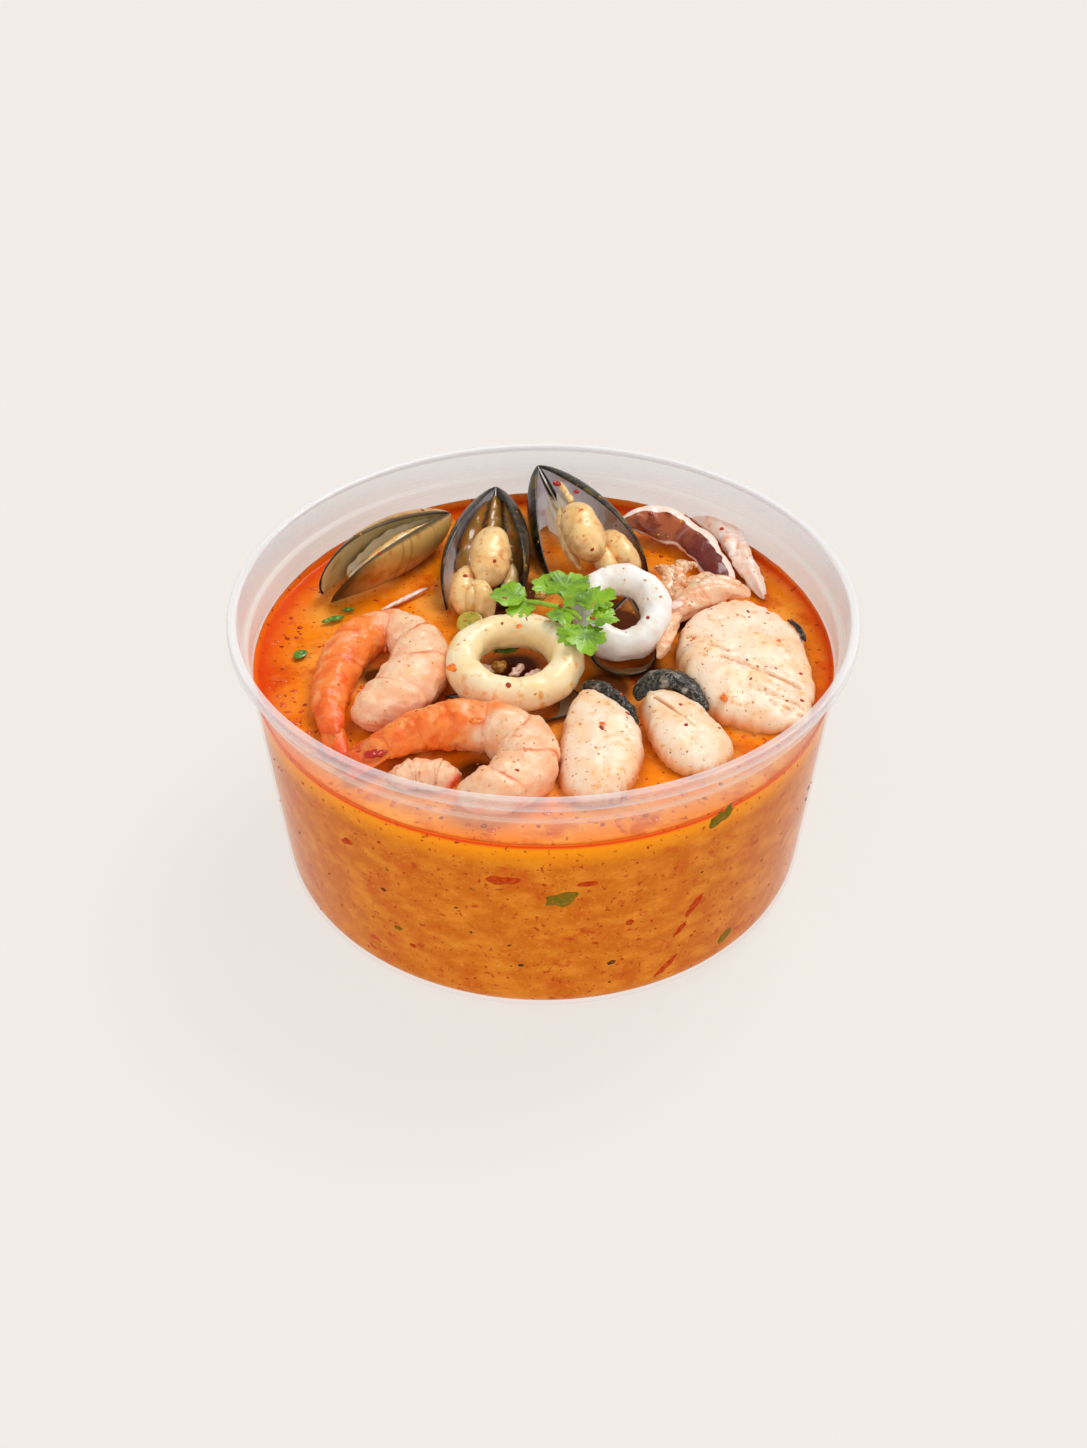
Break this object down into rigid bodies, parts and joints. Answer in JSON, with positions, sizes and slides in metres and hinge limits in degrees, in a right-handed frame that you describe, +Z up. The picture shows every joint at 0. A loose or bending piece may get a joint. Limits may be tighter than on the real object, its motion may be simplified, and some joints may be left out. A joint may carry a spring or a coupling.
{
  "type": "seafood soup in a round clear tub",
  "caption": "Round clear plastic tub filled with creamy orange seafood soup, with mussels, squid rings, prawns, fish and coriander on top.",
  "frame": {"origin": "centre of the tub's base, on the surface it stands on", "axes": "+Z up, -Y towards the front of the serving, +X to its right"},
  "size_m": [0.15, 0.15, 0.074],
  "materials": {
    "clear_polypropylene": "clear moulded polypropylene with a slight milky haze",
    "creamy_broth": "wet creamy orange broth with a film of red oil",
    "mussel_shell": "wet dark shell, pearly inside",
    "mussel_meat": "moist cooked mussel",
    "cooked_squid": "moist firm cooked squid",
    "squid_skin": "wet red brown squid skin",
    "cooked_tentacle": "moist curled tentacles",
    "white_fish": "moist flaky white fish",
    "cooked_prawn": "moist cooked prawn, orange outside",
    "spring_onion": "wet pale green slice",
    "coriander_leaf": "fresh leaf, satin"
  },
  "bodies": {
    "root": {"tub": "clear_polypropylene", "broth": "creamy_broth", "mussel_left_valve_a": "mussel_shell", "mussel_left_valve_b": "mussel_shell", "mussel_left_meat": "mussel_meat", "mussel_middle_valve_a": "mussel_shell", "mussel_middle_valve_b": "mussel_shell", "mussel_middle_meat": "mussel_meat", "mussel_right_valve_a": "mussel_shell", "mussel_right_valve_b": "mussel_shell", "mussel_right_meat": "mussel_meat", "shell_under_front_ring": "mussel_shell", "shell_under_back_ring": "mussel_shell", "squid_ring_front": "cooked_squid", "squid_ring_back": "cooked_squid", "squid_strip": "squid_skin", "squid_lobe": "cooked_squid", "squid_tentacles": "cooked_tentacle", "fish_large": "white_fish", "fish_left": "white_fish", "fish_middle": "white_fish", "prawn_left": "cooked_prawn", "prawn_front": "cooked_prawn", "prawn_low": "cooked_prawn", "spring_onion_slice": "spring_onion", "coriander": "coriander_leaf"}
  },
  "joints": []
}
